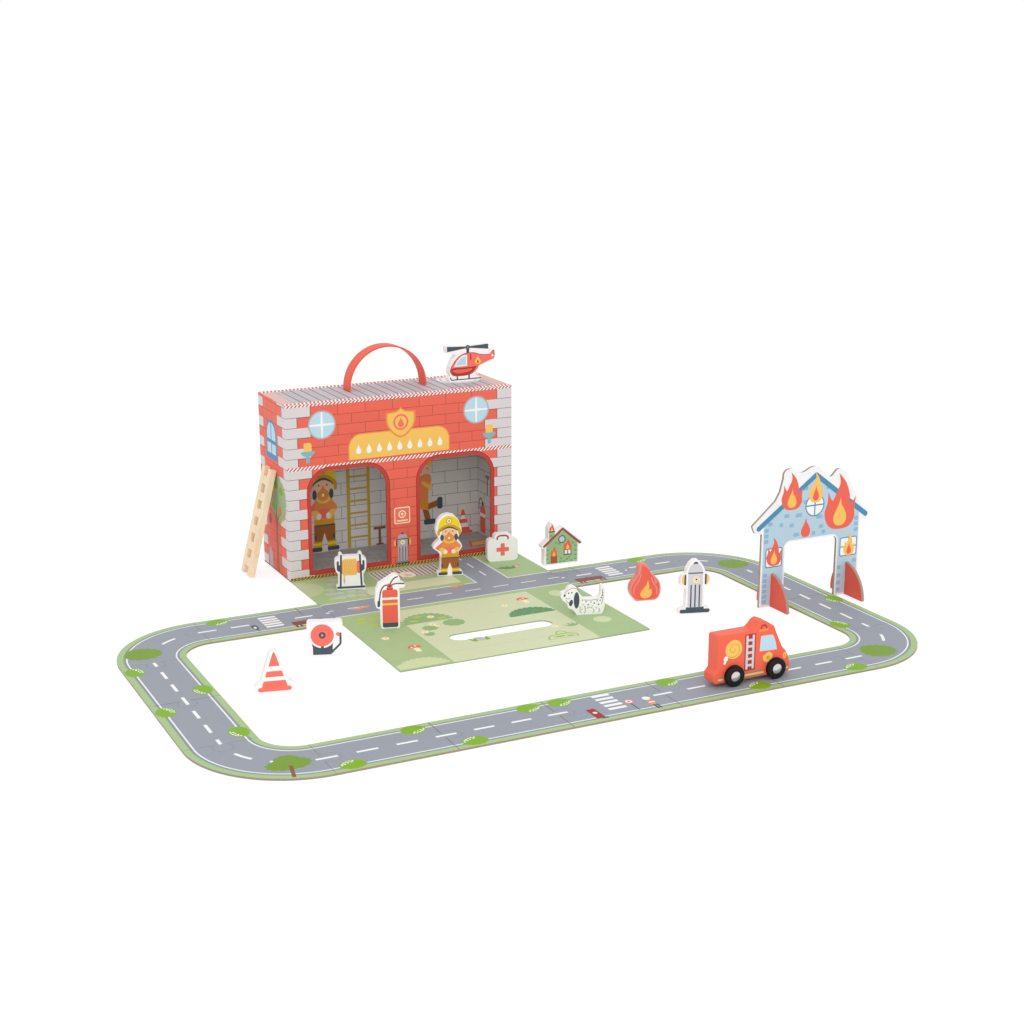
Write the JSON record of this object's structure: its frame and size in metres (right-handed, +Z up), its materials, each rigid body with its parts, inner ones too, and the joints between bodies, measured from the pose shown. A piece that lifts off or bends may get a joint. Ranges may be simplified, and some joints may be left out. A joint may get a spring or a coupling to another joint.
{
  "type": "toy fire station",
  "caption": "Carrying case printed as a fire station, with strap, fold-over play mat, jigsaw road ring, wheeled truck and cut-out figures, animals, signs and houses.",
  "frame": {"origin": "centre of the case's underside", "axes": "+X to the right along the case's front, +Y to the back, +Z up"},
  "size_m": [0.8627, 0.658, 0.272],
  "materials": {
    "case_board": "satin printed paper",
    "strap": "satin",
    "mat_board": "satin printed paper",
    "road_board": "satin printed paper",
    "bare_wood": "bare",
    "toy_wood": "printed and lacquered",
    "flame_wood": "printed and lacquered",
    "truck_wood": "lacquered",
    "wheel": "satin",
    "axle": "brushed",
    "hubcap": "polished",
    "house_board": "satin printed paper",
    "foot_board": "satin printed paper"
  },
  "bodies": {
    "station": {"case_back_wall": "case_board", "case_floor": "case_board", "case_front_wall": "case_board", "case_left_wall": "case_board", "case_right_wall": "case_board", "case_roof": "case_board", "handle_strap": "strap", "road_back_left": "road_board", "road_back_right": "road_board", "road_corner_back_left": "road_board", "road_corner_back_right": "road_board", "road_corner_front_left": "road_board", "road_corner_front_right": "road_board", "road_front_1": "road_board", "road_front_2": "road_board", "road_front_3": "road_board", "road_front_4": "road_board", "road_front_5": "road_board", "road_left_1": "road_board", "road_left_2": "road_board", "road_right_1": "road_board", "road_right_2": "road_board"},
    "mat_front": {"mat_front_panel": "mat_board"},
    "mat_top": {"mat_top_panel": "mat_board"},
    "mat_tail": {"mat_tail_panel": "mat_board"},
    "hose_reel": {"hose_reel": "toy_wood"},
    "fire_extinguisher": {"fire_extinguisher": "toy_wood"},
    "firefighter": {"firefighter": "toy_wood"},
    "first_aid_kit": {"first_aid_kit": "toy_wood"},
    "dog": {"dog": "toy_wood"},
    "helicopter": {"helicopter": "toy_wood"},
    "small_house": {"small_house": "toy_wood"},
    "flame_block": {"flame_block": "flame_wood"},
    "hydrant": {"hydrant": "toy_wood"},
    "alarm_bell": {"alarm_bell": "toy_wood"},
    "traffic_cone": {"traffic_cone": "toy_wood"},
    "ladder": {"ladder": "bare_wood"},
    "burning_house": {"burning_house_foot_left": "foot_board", "burning_house_foot_right": "foot_board", "burning_house_panel": "house_board"},
    "truck": {"truck_body": "truck_wood"},
    "rear_wheels": {"rear_axle": "axle", "rear_wheel_near": "wheel", "rear_wheel_far": "wheel", "rear_hubcaps": "hubcap"},
    "front_wheels": {"front_axle": "axle", "front_wheel_near": "wheel", "front_wheel_far": "wheel", "front_hubcaps": "hubcap"}
  },
  "joints": [
    {"name": "mat_front_fold", "type": "hinge", "parent": "station", "child": "mat_front", "pos_m": [0, -0.0503, 0.002], "axis": [-1, 0, 0], "range_deg": [0, 90]},
    {"name": "mat_top_fold", "type": "hinge", "parent": "mat_front", "child": "mat_top", "pos_m": [0, -0.2666, 0.002], "axis": [-1, 0, 0], "range_deg": [0, 90], "deforming": ["handle_strap"]},
    {"name": "mat_tail_fold", "type": "hinge", "parent": "mat_top", "child": "mat_tail", "pos_m": [0, -0.3672, 0.002], "axis": [-1, 0, 0], "range_deg": [0, 90]},
    {"name": "hose_reel_lift", "type": "slide", "parent": "station", "child": "hose_reel", "axis": [0, 0, 1], "range_m": [0, 0.74]},
    {"name": "fire_extinguisher_lift", "type": "slide", "parent": "station", "child": "fire_extinguisher", "axis": [0, 0, 1], "range_m": [0, 0.74]},
    {"name": "firefighter_lift", "type": "slide", "parent": "station", "child": "firefighter", "axis": [0, 0, 1], "range_m": [0, 0.74]},
    {"name": "first_aid_kit_lift", "type": "slide", "parent": "station", "child": "first_aid_kit", "axis": [0, 0, 1], "range_m": [0, 0.74]},
    {"name": "dog_lift", "type": "slide", "parent": "station", "child": "dog", "axis": [0, 0, 1], "range_m": [0, 0.74]},
    {"name": "helicopter_lift", "type": "slide", "parent": "station", "child": "helicopter", "axis": [0, 0, 1], "range_m": [0, 0.74]},
    {"name": "small_house_lift", "type": "slide", "parent": "station", "child": "small_house", "axis": [0, 0, 1], "range_m": [0, 0.15]},
    {"name": "flame_block_lift", "type": "slide", "parent": "station", "child": "flame_block", "axis": [0, 0, 1], "range_m": [0, 0.15]},
    {"name": "hydrant_lift", "type": "slide", "parent": "station", "child": "hydrant", "axis": [0, 0, 1], "range_m": [0, 0.15]},
    {"name": "alarm_bell_lift", "type": "slide", "parent": "station", "child": "alarm_bell", "axis": [0, 0, 1], "range_m": [0, 0.15]},
    {"name": "traffic_cone_lift", "type": "slide", "parent": "station", "child": "traffic_cone", "axis": [0, 0, 1], "range_m": [0, 0.15]},
    {"name": "ladder_lift", "type": "slide", "parent": "station", "child": "ladder", "axis": [0, 0, 1], "range_m": [0, 0.15]},
    {"name": "burning_house_lift", "type": "slide", "parent": "station", "child": "burning_house", "axis": [0, 0, 1], "range_m": [0, 0.1]},
    {"name": "truck_roll", "type": "slide", "parent": "station", "child": "truck", "axis": [1, 0, 0], "range_m": [-0.38, 0.08]},
    {"name": "rear_wheels_turn", "type": "hinge", "parent": "truck", "child": "rear_wheels", "pos_m": [0.13411, -0.575, 0.0133], "axis": [0, 1, 0], "continuous": true},
    {"name": "front_wheels_turn", "type": "hinge", "parent": "truck", "child": "front_wheels", "pos_m": [0.18459, -0.575, 0.0133], "axis": [0, 1, 0], "continuous": true}
  ],
  "couplings": [
    {"joint": "mat_top_fold", "follows": "mat_front_fold", "ratio": 1},
    {"joint": "hose_reel_lift", "follows": "mat_front_fold", "m_per_rad": 0.47},
    {"joint": "fire_extinguisher_lift", "follows": "mat_front_fold", "m_per_rad": 0.47},
    {"joint": "firefighter_lift", "follows": "mat_front_fold", "m_per_rad": 0.47},
    {"joint": "first_aid_kit_lift", "follows": "mat_front_fold", "m_per_rad": 0.47},
    {"joint": "dog_lift", "follows": "mat_front_fold", "m_per_rad": 0.47},
    {"joint": "helicopter_lift", "follows": "mat_front_fold", "m_per_rad": 0.47},
    {"joint": "rear_wheels_turn", "follows": "truck_roll", "rad_per_m": 90.909},
    {"joint": "front_wheels_turn", "follows": "truck_roll", "rad_per_m": 90.909}
  ]
}
